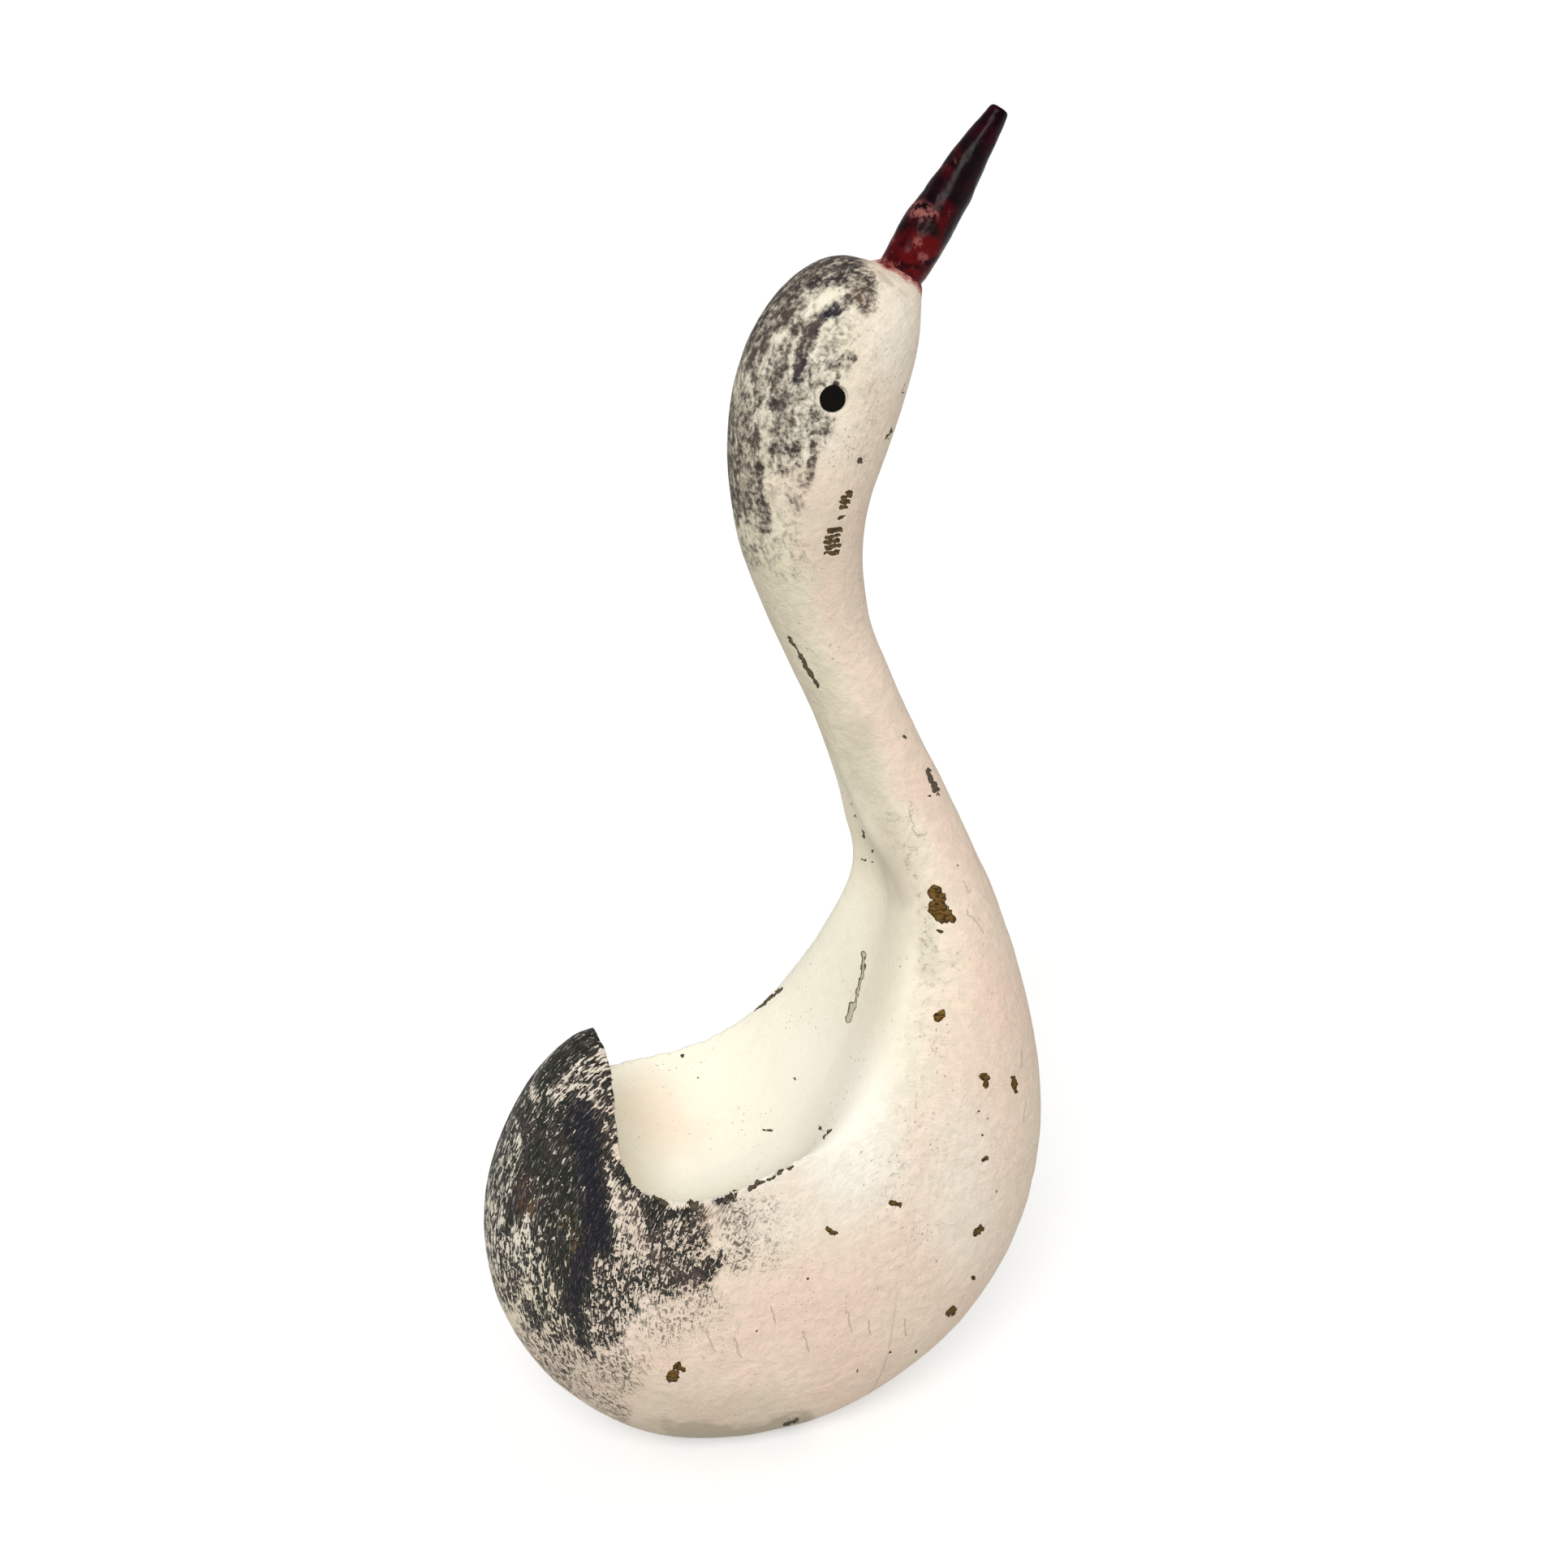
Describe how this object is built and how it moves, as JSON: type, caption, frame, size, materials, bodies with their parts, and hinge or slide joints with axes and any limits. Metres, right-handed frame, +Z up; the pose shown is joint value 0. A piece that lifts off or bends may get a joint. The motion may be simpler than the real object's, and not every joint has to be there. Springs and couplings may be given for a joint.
{
  "type": "swan figurine",
  "caption": "Carved and painted wooden swan ornament with a scooped back, a tall curved neck and a long peg beak.",
  "frame": {"origin": "middle of the bounding box, on the ground", "axes": "+X towards the head side, +Y towards the bird's left, +Z up"},
  "size_m": [0.1052, 0.0572, 0.2395],
  "materials": {
    "body_paint": "aged cream paint over lumpy primer, black dry-brushed tail, chipped to brown wood",
    "head_paint": "aged cream paint, grey-black smudges on the crown",
    "bare_wood": "bare wood",
    "beak_lacquer": "glossy oxblood and black lacquer",
    "eye_black": "matt black"
  },
  "bodies": {
    "root": {"body": "body_paint", "neck_and_head": "head_paint", "neck_dowel": "bare_wood", "beak": "beak_lacquer", "eye_left": "eye_black", "eye_right": "eye_black"}
  },
  "joints": []
}
